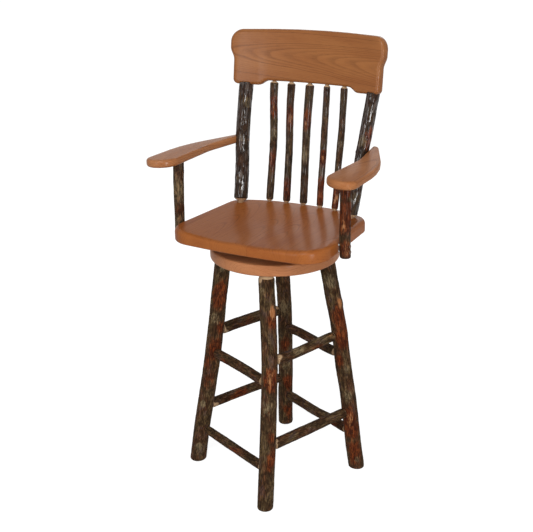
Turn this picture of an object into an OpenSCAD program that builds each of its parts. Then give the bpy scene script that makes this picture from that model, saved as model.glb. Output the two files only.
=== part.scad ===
// Swivel bar chair with bark-on log legs, posts and spindles, and an oak seat, arms and crest rail.
// Millimetres, +Z up. The origin lies on the floor, on the swivel axis; the sitter faces -Y.
// At rest the leg frame is turned away from the seat, as a swivel chair is usually left.

/* [Seat] */
// Height of the seat's rim above the floor
seat_h = 762; // [620:1:800]
// Thickness of the seat board
seat_t = 36; // [30:1:44]
// Half the seat's width at its front corners
seat_front_x = 239; // [226:1:246]
// Half the seat's width at its rear corners
seat_rear_x = 220; // [212:1:226]
// Distance from the swivel axis to the middle of the front edge
seat_front_y = 208; // [180:1:230]
// Distance from the swivel axis to the middle of the rear edge
seat_rear_y = 192; // [186:1:205]
// Radius on the seat's upper and lower edges
seat_edge_r = 9; // [4:0.5:12]
// Depth of the hollow in the seat
dish_depth = 8; // [3:0.5:10]
// Radius of the hollow's rim
dish_r = 160; // [120:1:170]

/* [Swivel] */
// Height of the swivel between the disc and the seat
swivel_h = 28.6; // [26:0.1:34]
// Side of the two square swivel plates
plate_w = 171; // [160:1:180]
// Thickness of the plates' steel
plate_t = 3; // [2.5:0.1:3.5]
// Radius of the flat top of the pressed dome
dome_r = 58; // [52:0.5:60]
// Radius of the circle that the balls run on
race_r = 45; // [38:0.5:48]
// Diameter of one ball
ball_d = 6.4; // [5:0.1:7]
// Number of balls
ball_n = 24; // [12:1:30]
// Diameter of the centre rivet's shank
rivet_d = 16; // [10:0.5:20]
// Diameter of the plate screws' shanks
plate_screw_d = 4.8; // [4:0.1:6]
// Length of the plate screws under their heads
plate_screw_l = 22; // [16:1:24]
// Distance from a plate's edge to the middle of its screws
plate_screw_edge = 12; // [9:0.5:16]

/* [Disc] */
// Diameter of the round disc on top of the legs
disc_d = 353; // [345:1:370]
// Thickness of the disc
disc_t = 32; // [28:0.5:38]
// Radius on the disc's edges
disc_edge_r = 5; // [2:0.5:8]
// Diameter of the hole that lets a driver reach the upper plate's screws
access_d = 16; // [12:0.5:20]

/* [Legs] */
// Angle of the front leg from the sitter's forward direction
leg_turn = 21.8; // [0:0.1:45]
// Distance from the axis to a leg's centre on the floor
foot_r = 243; // [215:1:260]
// Distance from the axis to a leg's centre at the disc's underside
head_r = 147; // [135:1:150]
// Diameter of a leg log
leg_d = 45; // [40:0.5:50]
// Diameter of a leg's turned tenon
leg_tenon_d = 34; // [26:0.5:36]
// Depth of a leg's tenon in the disc
leg_tenon_l = 24; // [18:0.5:26]
// Bare tenon showing between a leg's bark and the disc
leg_reveal = 8; // [4:0.5:14]

/* [Rungs] */
// Height of the upper rungs on the front-right and back-left sides
upper_high_z = 424; // [395:1:450]
// Height of the upper rungs on the other two sides
upper_low_z = 364; // [330:1:385]
// Height of the lower rungs on the front-right and back-left sides
lower_high_z = 179; // [150:1:215]
// Height of the lower rungs on the other two sides
lower_low_z = 110; // [80:1:130]
// Diameter of a rung
rung_d = 28; // [21:0.5:32]
// Diameter of a rung's turned tenons
rung_tenon_d = 16; // [12:0.5:18]
// Depth of a rung's tenons in a leg
rung_tenon_l = 25; // [16:0.5:28]
// Bare wood between a rung's bark and the leg
rung_reveal = 7; // [3:0.5:12]

/* [Back] */
// Distance of a post's foot from the seat's middle line
post_foot_x = 177; // [165:0.5:182]
// Distance of a post's foot behind the swivel axis
post_foot_y = 123; // [110:0.5:128]
// Diameter of a back post
post_d = 40; // [34:0.5:44]
// Diameter of the tenons at both ends of a post
post_tenon_d = 19; // [15:0.5:19.5]
// Bare wood showing between a post's bark and the seat
post_reveal = 13; // [8:0.5:18]
// Distance between the feet of neighbouring spindles
spindle_pitch = 53.7; // [46:0.1:56]
// Distance from the seat's rear edge to the middle spindle's foot
spindle_inset = 20; // [16:0.5:26]
// Radius of the curve that the spindles' feet stand on
spindle_arc_r = 650; // [500:5:1200]
// Diameter of a spindle
spindle_d = 20; // [16:0.5:24]
// Diameter of the thicker middle spindle
middle_spindle_d = 23; // [18:0.5:26]
// Diameter of the tenons at both ends of a spindle
spindle_tenon_d = 11; // [8:0.5:12]
// Bare wood showing between a spindle's bark and the seat
spindle_reveal = 10; // [6:0.5:14]
// Bare wood showing between a spindle's bark and the crest rail
spindle_top_reveal = 8; // [4:0.5:12]
// Depth of the post and spindle tenons in the seat
seat_tenon_l = 20; // [14:0.5:22]

/* [Crest rail] */
// Height of the crest rail's lower edge at the posts
crest_z = 1098; // [1050:1:1150]
// Half the crest rail's width across its upper lobes
crest_x = 237; // [232:0.5:246]
// Height of the crest rail at its ends
crest_h = 150; // [130:1:165]
// Rise of the crest rail's arched top edge
crest_arch = 9; // [0:0.5:14]
// Thickness of the crest rail
crest_t = 28; // [25:0.5:34]
// Radius of the crest rail's curve in plan
crest_bend_r = 1200; // [1000:10:3000]
// Backward lean of the crest rail
crest_lean = 6.5; // [4:0.5:12]
// Distance of the posts' tops from the middle line
post_top_x = 200; // [194:0.5:206]
// Distance of the crest rail's middle behind the swivel axis
crest_y = 214; // [205:0.5:222]
// Rise of the lower edge between the two end blocks
crest_step = 14; // [8:0.5:20]
// Depth of the post tenons in the crest rail
crest_post_tenon_l = 26; // [20:1:28]
// Depth of the spindle tenons in the crest rail
crest_spindle_tenon_l = 26; // [18:1:34]

/* [Arms] */
// Height of the arm's upper face above the seat's rim, at its inner edge
arm_rise = 190; // [170:1:215]
// Thickness of an arm
arm_t = 21; // [18:0.5:25]
// Outward tilt of an arm
arm_tilt = 2.5; // [0:0.5:6]
// Distance from the middle line to an arm's outer edge
arm_outer_x = 299; // [290:1:306]
// Distance of an arm's front edge from the swivel axis
arm_front_y = 183; // [170:1:200]
// Distance of an arm's rear tip from the swivel axis
arm_rear_y = 197; // [194:1:210]
// Radius on an arm's edges
arm_edge_r = 6; // [3:0.5:8]
// Distance of the arm posts in front of the swivel axis
arm_post_y = 86; // [76:1:96]
// How far the left arm with its post stands forward, and the right one back, of an even pair
arm_skew = 12; // [0:1:14]
// Diameter of an arm post
arm_post_d = 28; // [24:0.5:32]
// Depth of the flat that an arm post is cut with where it lies on the seat's edge
arm_post_flat = 1; // [0.6:0.1:2]
// Drop of an arm post's lower end under the seat
arm_post_drop = 10; // [4:1:20]
// Diameter of an arm post's upper tenon
arm_tenon_d = 18; // [14:0.5:20]
// Depth of that tenon in the arm
arm_tenon_l = 13; // [10:0.5:15]
// Diameter of the screws through the arm posts and back posts
arm_screw_d = 5; // [4:0.1:6]
// Diameter of the plugs over those screws
plug_d = 10; // [9:0.5:12]

/* [Hidden] */

oak = [0.68, 0.45, 0.27];
bark = [0.27, 0.21, 0.17];
steel = [0.55, 0.55, 0.56];
cream = [0.9, 0.88, 0.8];

// Radial play of a glued tenon in its hole, and the glue space past its end
glue_fit = 0.15;
glue_space = 0.5;
// Play of the swivel's turning parts
rivet_fit = 0.06;
ball_fit = 0.3;
// Overshoot of a cutting tool past the face that it cuts
over = 1;

seat_bottom = seat_h - seat_t;
disc_top = seat_bottom - swivel_h;
disc_bottom = disc_top - disc_t;

function unit(v) = v / norm(v);
function mix(a, b, t) = a + (b - a) * t;
module mirrored(s) { mirror([s < 0 ? 1 : 0, 0, 0]) children(); }

// Carries its children from the Z axis onto the line from a to b, starting at a.
module along(a, b) {
    d = b - a;
    translate(a) rotate([0, acos(d[2] / norm(d)), atan2(d[1], d[0])]) children();
}

// Points of a closed outline whose corners [x, y, radius] are rounded with arcs.
function corner_arc(p, q, s) =
    let (u = unit([p[0] - q[0], p[1] - q[1]]), v = unit([s[0] - q[0], s[1] - q[1]]),
        half = acos(u * v) / 2, c = [q[0], q[1]] + unit(u + v) * (q[2] / sin(half)),
        t0 = [q[0], q[1]] + u * (q[2] / tan(half)) - c,
        t1 = [q[0], q[1]] + v * (q[2] / tan(half)) - c,
        a0 = atan2(t0[1], t0[0]), sweep = (atan2(t1[1], t1[0]) - a0 + 540) % 360 - 180,
        n = max(2, ceil(abs(sweep) / 9)))
    [for (i = [0:n]) c + q[2] * [cos(a0 + sweep * i / n), sin(a0 + sweep * i / n)]];
function rounded(c) = let (n = len(c))
    [for (i = [0:n - 1]) each corner_arc(c[(i + n - 1) % n], c[i], c[(i + 1) % n])];

// Corners of an even outline: its first and last ones, and those of its right side between them
function both_sides(first, right, last) = concat([first], right, [last],
    [for (i = [len(right) - 1:-1:0]) [-right[i][0], right[i][1], right[i][2]]]);

// How far a corner's point lies outside its arc of radius r that turns by 2 a
function apex(r, a) = r * (1 / cos(a) - 1);

// The same outline moved inwards by d; points run anticlockwise.
function inset(pts, d) = let (n = len(pts))
    [for (i = [0:n - 1]) let (t = unit(pts[(i + 1) % n] - pts[(i + n - 1) % n])) pts[i] + d * [-t[1], t[0]]];

// A board from z = 0 to z = t with rounded edges, as one closed skin over rings of the outline
module board(pts, t, r, steps = 3) {
    n = len(pts);
    low = [for (i = [0:steps]) let (a = 90 * i / steps) [r * (1 - sin(a)), r * (1 - cos(a))]];
    rings = concat(low, [for (i = [steps:-1:0]) [low[i][0], t - low[i][1]]]);
    points = [for (k = rings) each [for (p = inset(pts, k[0])) [p[0], p[1], k[1]]]];
    m = len(rings);
    sides = [for (k = [0:m - 2], i = [0:n - 1])
        [k * n + i, (k + 1) * n + i, (k + 1) * n + (i + 1) % n, k * n + (i + 1) % n]];
    bottom = [for (i = [0:n - 1]) i];
    top = [for (i = [n - 1:-1:0]) (m - 1) * n + i];
    polyhedron(points, concat(sides, [bottom, top]), convexity = 6);
}

// A bark-on log on the Z axis from z0 to z1: a little uneven, thinner at its top, with rounded ends
log_swell = 0.02;
module log(z0, z1, d, taper = 0.05, waves = 3, phase = 0) {
    lip = d / 16;
    steps = 12;
    body = [for (i = [0:steps]) let (t = i / steps,
        r = d / 2 * (1 + taper * (0.5 - t) + log_swell * sin(360 * waves * t + phase)))
        [r - (i == 0 || i == steps ? lip : 0), z0 + (z1 - z0) * t]];
    rotate_extrude($fn = 48) polygon(concat([[0, z0]], body, [[0, z1]]));
}

// The bare end of a log on the Z axis: a tenon that ends at z = -l, a mouth of its hole at z = 0, and a
// cone up to the bark at z = reveal
module tenon(l, reveal, d, log_d) {
    shoulder = max(0.8 * log_d, d + 1) / 2;
    chamfer = 1;
    rotate_extrude($fn = 48) polygon([[0, -l], [d / 2 - chamfer, -l], [d / 2, chamfer - l],
        [d / 2, reveal * 0.2], [shoulder, reveal], [shoulder, reveal + over], [0, reveal + over]]);
}

// The hole for such a tenon
module tenon_hole(l, d) {
    translate([0, 0, -l - glue_space]) rotate([0, 0, 90])
        cylinder(h = l + glue_space + 1.5 * d, d = d + 2 * glue_fit, $fn = 48);
}

// A stick with bark between its two bare ends, from surface point a to surface point b
module stick(a, b, d, tenon_d, la, lb, reveal_a, reveal_b, waves, phase) {
    l = norm(b - a);
    along(a, b) union() {
        log(reveal_a, l - reveal_b, d, waves = waves, phase = phase);
        tenon(la, reveal_a, tenon_d, d);
        translate([0, 0, l]) mirror([0, 0, 1]) tenon(lb, reveal_b, tenon_d, d);
    }
}

// Legs: places and joints. Leg 0 is the front one, then right, back and left.
function leg_r(z) = foot_r + (head_r - foot_r) * z / disc_bottom;
function leg_point(i, z) = let (a = leg_turn + 90 * i) [leg_r(z) * sin(a), -leg_r(z) * cos(a), z];

// Side i runs from leg i to leg i + 1. Sides 0 and 2 carry the high rungs.
function rung_z(side, upper) = side % 2 == 0
    ? (upper ? upper_high_z : lower_high_z)
    : (upper ? upper_low_z : lower_low_z);

// From the centre of leg a to the centre of its neighbour b, at the height of their rung
module on_rung(side, upper, a, b) {
    along(leg_point(a, rung_z(side, upper)), leg_point(b, rung_z(side, upper)))
        translate([0, 0, leg_d / 2]) children();
}

module leg(i) {
    below = leg_d;
    low = leg_point(i, -below);
    head = leg_point(i, disc_bottom);
    color(bark) difference() {
        union() {
            along(low, head) rotate([0, 0, 90])
                log(0, norm(head - low) - leg_reveal, leg_d, waves = 4, phase = 80 * i);
            along(head, low) tenon(leg_tenon_l, leg_reveal, leg_tenon_d, leg_d);
        }
        translate([-foot_r * 2, -foot_r * 2, -2 * below]) cube([foot_r * 4, foot_r * 4, 2 * below]);
        for (upper = [true, false]) {
            on_rung(i, upper, i, i + 1) tenon_hole(rung_tenon_l, rung_tenon_d);
            on_rung(i + 3, upper, i + 4, i + 3) tenon_hole(rung_tenon_l, rung_tenon_d);
        }
    }
}

module rung(side, upper) {
    z = rung_z(side, upper);
    a = leg_point(side, z);
    b = leg_point(side + 1, z);
    edge = unit(b - a) * leg_d / 2;
    color(bark) stick(a + edge, b - edge, rung_d, rung_tenon_d, rung_tenon_l, rung_tenon_l,
        rung_reveal, rung_reveal, 2, 70 * side + (upper ? 40 : 0));
}

// A rounded edge of a lathe profile: a quarter turn of radius r about c, starting at angle a
function edge_arc(c, r, a) = [for (i = [0:6]) c + r * [cos(a + 15 * i), sin(a + 15 * i)]];

module base_disc() {
    e = disc_edge_r;
    color(oak) difference() {
        translate([0, 0, disc_bottom]) rotate_extrude($fn = 96) polygon(concat([[0, 0]],
            edge_arc([disc_d / 2 - e, e], e, -90), edge_arc([disc_d / 2 - e, disc_t - e], e, 0),
            [[0, disc_t]]));
        for (i = [0:3]) along(leg_point(i, disc_bottom), leg_point(i, 0))
            tenon_hole(leg_tenon_l, leg_tenon_d);
        base_turn() {
            at_plate_screws() translate([0, 0, disc_top]) plate_pilot();
            translate([0, screw_circle_r, disc_bottom - over])
                cylinder(h = disc_t + 2 * over, d = access_d, $fn = 48);
        }
    }
}

// Swivel: two pressed plates whose domes face each other with the balls between them
screw_circle_r = (plate_w / 2 - plate_screw_edge) * sqrt(2);
race_gap = 3.4;
race_top = swivel_h / 2 - race_gap / 2;
dome_under = race_top - plate_t;
dome_wall_run = 8;
cage_t = 1.6;
cage_rim = 5;
plate_corner_r = 12;
rivet_head_over = 6;
rivet_head_h = 2.5;

module base_turn() { rotate([0, 0, leg_turn]) children(); }

module at_plate_screws() {
    m = plate_w / 2 - plate_screw_edge;
    for (x = [-m, m], y = [-m, m]) translate([x, y, 0]) children();
}

// Pilot hole of a plate screw, down from the wood's face at z = 0
module plate_pilot() {
    translate([0, 0, -plate_screw_l - glue_space])
        cylinder(h = plate_screw_l + glue_space + over, d = plate_screw_d + 2 * glue_fit, $fn = 32);
}

// A pan-head screw that holds a plate on the wood's face at z = 0
module plate_screw() {
    r = plate_screw_d / 2;
    head_r = plate_screw_d * 0.95;
    head_h = plate_screw_d * 0.65;
    rotate_extrude($fn = 32) polygon([[0, -plate_screw_l], [r * 0.5, -plate_screw_l],
        [r, plate_screw_d - plate_screw_l], [r, plate_t], [head_r, plate_t], [head_r, plate_t + head_h * 0.5],
        [head_r * 0.7, plate_t + head_h], [0, plate_t + head_h]]);
}

// One pressed plate with its flange on z = 0, its dome up, and a groove for the balls on top
module swivel_plate(hole_d) {
    w = plate_w / 2;
    wall_r = dome_r + dome_wall_run;
    difference() {
        union() {
            difference() {
                linear_extrude(plate_t) polygon(rounded([for (a = [-135:90:135])
                    [w * sign(cos(a)), w * sign(sin(a)), plate_corner_r]]));
                translate([0, 0, -over]) cylinder(h = plate_t + 2 * over, r = wall_r - plate_t, $fn = 96);
            }
            rotate_extrude($fn = 96) polygon([[wall_r, plate_t], [wall_r, 0], [wall_r - plate_t, 0],
                [dome_r - plate_t, dome_under], [0, dome_under], [0, race_top], [dome_r, race_top],
                [wall_r - plate_t / 2, plate_t]]);
        }
        rotate_extrude($fn = 96) translate([race_r, swivel_h / 2])
            circle(r = ball_d / 2 + ball_fit, $fn = 48);
        translate([0, 0, dome_under - over]) cylinder(h = plate_t + 2 * over, d = hole_d, $fn = 48);
        at_plate_screws() translate([0, 0, -over])
            cylinder(h = plate_t + 2 * over, d = plate_screw_d + 2 * glue_fit, $fn = 32);
    }
}

module swivel_lower_plate() {
    color(steel) translate([0, 0, disc_top]) base_turn() swivel_plate(rivet_d);
}

module swivel_upper_plate() {
    color(steel) translate([0, 0, seat_bottom]) mirror([0, 0, 1]) swivel_plate(rivet_d + 2 * rivet_fit);
}

// The rivet is clenched on the lower dome and holds the upper one down with a little play.
module swivel_rivet() {
    r = rivet_d / 2;
    head = r + rivet_head_over;
    head_h = rivet_head_h;
    high = swivel_h - dome_under + ball_fit;
    color(steel) translate([0, 0, disc_top]) rotate_extrude($fn = 64) polygon([[0, dome_under - head_h],
        [head - 1, dome_under - head_h], [head, dome_under - head_h / 2], [head, dome_under], [r, dome_under],
        [r, high], [head, high], [head, high + head_h / 2], [head - 1, high + head_h], [0, high + head_h]]);
}

module lower_plate_screws() {
    color(steel) base_turn() at_plate_screws() translate([0, 0, disc_top]) plate_screw();
}

module upper_plate_screws() {
    color(steel) at_plate_screws() translate([0, 0, seat_bottom]) mirror([0, 0, 1]) plate_screw();
}

module at_balls() {
    for (i = [0:ball_n - 1]) rotate([0, 0, 360 * i / ball_n])
        translate([race_r, 0, disc_top + swivel_h / 2]) children();
}

module bearing_balls() { color(steel) at_balls() sphere(d = ball_d, $fn = 32); }

module ball_cage() {
    color(cream) difference() {
        translate([0, 0, disc_top + swivel_h / 2 - cage_t / 2]) difference() {
            cylinder(h = cage_t, r = race_r + cage_rim, $fn = 96);
            translate([0, 0, -over]) cylinder(h = cage_t + 2 * over, r = race_r - cage_rim, $fn = 96);
        }
        at_balls() translate([0, 0, -cage_t]) cylinder(h = 2 * cage_t, d = ball_d + 2 * ball_fit, $fn = 32);
    }
}

// Seat: the outline's corners, anticlockwise from the middle of the front edge
front_bow = 14;
front_bow_r = 1400;
rear_x = 130;
rear_drop = 16;
rear_arc_r = 700;
rear_shoulder_r = 300;
front_corner_r = 62;
rear_corner_r = 48;
seat_corner_y = front_bow - seat_front_y;
seat_rear_corner_y = seat_rear_y - rear_corner_r;
rear_apex_y = seat_rear_y + apex(rear_arc_r, atan2(rear_drop, rear_x));
front_apex_y = -seat_front_y - apex(front_bow_r, atan2(front_bow, seat_front_x));
seat_outline = rounded(both_sides([0, front_apex_y, front_bow_r], [
    [seat_front_x, seat_corner_y, front_corner_r], [seat_rear_x, seat_rear_corner_y, rear_corner_r],
    [rear_x, rear_apex_y - rear_drop, rear_shoulder_r]], [0, rear_apex_y, rear_arc_r]));
// The straight side: its place at y, and its angle from the Y axis
function seat_side(y) = mix(seat_front_x, seat_rear_x,
    (y - seat_corner_y) / (seat_rear_corner_y - seat_corner_y));
seat_side_angle = atan2(seat_front_x - seat_rear_x, seat_rear_corner_y - seat_corner_y);
dish_y = -15;

module seat() {
    sphere_r = (dish_r * dish_r + dish_depth * dish_depth) / (2 * dish_depth);
    color(oak) difference() {
        translate([0, 0, seat_bottom]) board(seat_outline, seat_t, seat_edge_r);
        translate([0, dish_y, seat_h + sphere_r - dish_depth]) rotate([90, 0, 0])
            sphere(r = sphere_r, $fn = 200);
        for (s = [-1, 1]) along(post_foot(s), post_top(s)) tenon_hole(seat_tenon_l, post_tenon_d);
        for (k = [-2:2]) along(spindle_foot(k), spindle_top(k)) tenon_hole(seat_tenon_l, spindle_tenon_d);
        at_plate_screws() translate([0, 0, seat_bottom]) mirror([0, 0, 1]) plate_pilot();
        for (s = [-1, 1]) at_arm_post_screws(s) screw_bore(arm_post_reach, arm_post_grip);
    }
}

// Crest rail: a point at x from the middle line and h above the lower edge of its end blocks
function crest_sag(x) = crest_bend_r - sqrt(crest_bend_r * crest_bend_r - x * x);
function crest_point(x, h) = [x, crest_y - crest_sag(x) * cos(crest_lean) + h * sin(crest_lean),
    crest_z + (crest_sag(x) - crest_sag(post_top_x)) * sin(crest_lean) + h * cos(crest_lean)];

// Back posts and spindles run from feet on the seat to points under the crest rail.
function post_foot(s) = [s * post_foot_x, post_foot_y, seat_h];
function post_top(s) = crest_point(s * post_top_x, 0);
function spindle_foot(k) = let (x = k * spindle_pitch)
    [x, seat_rear_y - spindle_inset - x * x / (2 * spindle_arc_r), seat_h];
function spindle_top(k) = crest_point(k * spindle_pitch * spindle_fan, crest_step);
spindle_fan = 1.02;
post_reveal_top = 4;

module post_log(s, play) {
    along(post_foot(s), post_top(s)) log(post_reveal, norm(post_top(s) - post_foot(s)) - post_reveal_top,
        post_d + 2 * play, waves = 3, phase = 60 * s);
}

module back_post(s) {
    color(bark) difference() {
        union() {
            post_log(s, 0);
            along(post_foot(s), post_top(s)) tenon(seat_tenon_l, post_reveal, post_tenon_d, post_d);
            along(post_top(s), post_foot(s))
                tenon(crest_post_tenon_l, post_reveal_top, post_tenon_d, post_d);
        }
        at_arm_end_screw(s) screw_bore(arm_end_reach, arm_end_grip);
    }
}

module spindle(k) {
    color(bark) stick(spindle_foot(k), spindle_top(k), k == 0 ? middle_spindle_d : spindle_d,
        spindle_tenon_d, seat_tenon_l, crest_spindle_tenon_l, spindle_reveal, spindle_top_reveal, 3, 75 * k);
}

// The crest rail's outline: end blocks, S-shaped ends with a lobe on top, and an arched upper edge
crest_waist = 10;
crest_waist_h = 84;
crest_s_bend = 11;
crest_s_r = 26;
crest_block_x = 142;
crest_block_run = 10;
crest_block_r = 22;
crest_low_corner_r = 14;
crest_top_corner_r = 36;
crest_low_arc_r = 3000;
crest_low_arc_rise = 2;
crest_arch_r = 2500;

module crest_profile() {
    waist_x = crest_x - crest_waist;
    polygon(rounded(both_sides([0, crest_step + crest_low_arc_rise, crest_low_arc_r], [
        [crest_block_x - crest_block_run, crest_step, crest_block_r],
        [crest_block_x + crest_block_run, 0, crest_block_r], [waist_x, 0, crest_low_corner_r],
        [waist_x, crest_waist_h - crest_s_bend, crest_s_r],
        [crest_x, crest_waist_h + crest_s_bend, crest_s_r],
        [crest_x, crest_h, crest_top_corner_r]],
        [0, crest_h + crest_arch + apex(crest_arch_r, atan2(crest_arch, crest_x)), crest_arch_r])));
}

module crest_rail() {
    h = crest_h * 1.5;
    color(oak) difference() {
        translate(crest_point(0, 0)) rotate([-crest_lean, 0, 0]) intersection() {
            translate([0, -crest_bend_r, -h / 4]) difference() {
                cylinder(h = h, r = crest_bend_r + crest_t / 2, $fn = 256);
                translate([0, 0, -over])
                    cylinder(h = h + 2 * over, r = crest_bend_r - crest_t / 2, $fn = 256);
            }
            translate([0, crest_t * 2, 0]) rotate([90, 0, 0]) linear_extrude(crest_t * 5) crest_profile();
        }
        for (s = [-1, 1]) along(post_top(s), post_foot(s)) tenon_hole(crest_post_tenon_l, post_tenon_d);
        for (k = [-2:2]) along(spindle_top(k), spindle_foot(k))
            tenon_hole(crest_spindle_tenon_l, spindle_tenon_d);
    }
}

// Arms: each lies on an arm post and is scribed round the outer side of its back post.
arm_top = seat_h + arm_rise;
arm_inner_x = 210;
arm_w = arm_outer_x - arm_inner_x;
// The front corners' radii, the inner one larger, which grow with the arm's width
arm_front_inner_r = 0.55 * arm_w;
arm_front_outer_r = 0.41 * arm_w;
arm_notch = 5;
arm_tip_w = 16;
arm_tip_r = arm_tip_w / 2 - 1;
// Where the arm's outer edge turns in towards its narrow rear end, and the swell of its inner edge
arm_turn_y = 12;
arm_turn_r = 300;
arm_swell_y = 45;
arm_swell_x = arm_inner_x + 12;
arm_swell_r = 160;
post_at_arm = let (foot = post_foot(1), top = post_top(1))
    mix(foot, top, (arm_top - arm_t / 2 - foot[2]) / (top[2] - foot[2]));
arm_tip_x = post_at_arm[0] + post_d / 2 - arm_notch;
// Corners of the right arm, anticlockwise from the inner front one
arm_corners = [[arm_inner_x, -arm_front_y, arm_front_inner_r],
    [arm_outer_x, -arm_front_y, arm_front_outer_r], [arm_outer_x, arm_turn_y, arm_turn_r],
    [arm_tip_x + arm_tip_w, arm_rear_y, arm_tip_r], [arm_tip_x, arm_rear_y, arm_tip_r],
    [arm_swell_x, arm_swell_y, arm_swell_r]];

module arm(s) {
    color(oak) difference() {
        mirrored(s) translate([arm_inner_x, s * arm_skew, arm_top]) rotate([0, arm_tilt, 0])
            translate([-arm_inner_x, 0, -arm_t]) board(rounded(arm_corners), arm_t, arm_edge_r);
        post_log(s, glue_fit);
        at_arm_post_top(s) mirror([0, 0, 1]) tenon_hole(arm_tenon_l, arm_tenon_d);
        at_arm_end_screw(s) screw_bore(arm_end_reach, arm_end_grip);
    }
}

// Arm posts stand upright against the seat's side edges.
arm_post_reveal = 1.5;
arm_post_z = seat_bottom - arm_post_drop;
function arm_post_side(s) = s * arm_skew - arm_post_y;
function arm_post_x(s) = seat_side(arm_post_side(s))
    + (arm_post_d / 2 - arm_post_flat) / cos(seat_side_angle);
function arm_post_l(s) = arm_top - arm_t / cos(arm_tilt) - (arm_post_x(s) - arm_inner_x) * tan(arm_tilt)
    - arm_post_z;

module at_arm_post(s) { mirrored(s) translate([arm_post_x(s), arm_post_side(s), arm_post_z]) children(); }
module at_arm_post_top(s) { at_arm_post(s) translate([0, 0, arm_post_l(s)]) children(); }

module arm_post(s) {
    color(bark) difference() {
        union() {
            at_arm_post(s) log(0, arm_post_l(s) - arm_post_reveal, arm_post_d, waves = 2, phase = 30);
            at_arm_post_top(s) mirror([0, 0, 1]) tenon(arm_tenon_l, arm_post_reveal, arm_tenon_d, arm_post_d);
        }
        mirrored(s) translate([seat_side(arm_post_side(s)), arm_post_side(s), seat_bottom - glue_fit])
            rotate([0, 0, seat_side_angle]) translate([-arm_post_d, -arm_post_d, 0])
                cube([arm_post_d + glue_fit, 2 * arm_post_d, seat_t + 2 * glue_fit]);
        at_arm_post_screws(s) screw_bore(arm_post_reach, arm_post_grip);
    }
}

// Screws of the arms: z = 0 is where the wood ends that holds the thread, and the head faces +Z.
screw_head_h = 3;
plug_l = 6;
arm_post_reach = 34;
arm_post_grip = arm_post_d - arm_post_flat - plug_l - screw_head_h;
arm_end_reach = post_d / 2 + 12;
arm_end_grip = post_d / 2 - plug_l - screw_head_h;
arm_screw_pitch = 16;

module at_arm_post_screws(s) {
    mirrored(s) for (z = [-0.5, 0.5] * arm_screw_pitch)
        translate([seat_side(arm_post_side(s)), arm_post_side(s), seat_bottom + seat_t / 2 + z])
            rotate([0, 0, seat_side_angle]) rotate([0, 90, 0]) children();
}

module at_arm_end_screw(s) {
    mirrored(s) translate(post_at_arm) rotate([0, -90, 0]) children();
}

module screw_bore(reach, grip) {
    translate([0, 0, -reach - glue_space])
        cylinder(h = reach + glue_space + grip + over, d = arm_screw_d + 2 * glue_fit, $fn = 32);
    translate([0, 0, grip]) cylinder(h = 3 * plug_l, d = plug_d + 2 * glue_fit, $fn = 32);
}

module arm_screw(reach, grip) {
    r = arm_screw_d / 2;
    rotate_extrude($fn = 32) polygon([[0, -reach], [r * 0.4, -reach], [r, 2 * r - reach], [r, grip],
        [plug_d / 2, grip], [plug_d / 2, grip + screw_head_h * 0.5], [r, grip + screw_head_h],
        [0, grip + screw_head_h]]);
}

module plug(grip) {
    translate([0, 0, grip + screw_head_h]) cylinder(h = plug_l - 1, d = plug_d, $fn = 32);
}

module arm_post_screws() {
    color(steel) for (s = [-1, 1]) at_arm_post_screws(s) arm_screw(arm_post_reach, arm_post_grip);
}

module arm_end_screws() {
    color(steel) for (s = [-1, 1]) at_arm_end_screw(s) arm_screw(arm_end_reach, arm_end_grip);
}

module screw_plugs() {
    color(bark) for (s = [-1, 1]) {
        at_arm_post_screws(s) plug(arm_post_grip);
        at_arm_end_screw(s) plug(arm_end_grip);
    }
}

base_disc();
leg(0);  // leg_front
leg(1);  // leg_right
leg(2);  // leg_back
leg(3);  // leg_left
rung(0, true);  // rung_front_right_upper
rung(0, false);  // rung_front_right_lower
rung(1, true);  // rung_back_right_upper
rung(1, false);  // rung_back_right_lower
rung(2, true);  // rung_back_left_upper
rung(2, false);  // rung_back_left_lower
rung(3, true);  // rung_front_left_upper
rung(3, false);  // rung_front_left_lower
swivel_lower_plate();
lower_plate_screws();
swivel_rivet();
ball_cage();
bearing_balls();
swivel_upper_plate();
upper_plate_screws();
seat();
back_post(-1);  // back_post_left
back_post(1);  // back_post_right
spindle(-2);  // spindle_left_outer
spindle(-1);  // spindle_left_inner
spindle(0);  // spindle_middle
spindle(1);  // spindle_right_inner
spindle(2);  // spindle_right_outer
crest_rail();
arm(-1);  // arm_left
arm(1);  // arm_right
arm_post(-1);  // arm_post_left
arm_post(1);  // arm_post_right
arm_post_screws();
arm_end_screws();
screw_plugs();
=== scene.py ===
import math

import bmesh
import bpy
from mathutils import Matrix, Vector, noise


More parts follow.
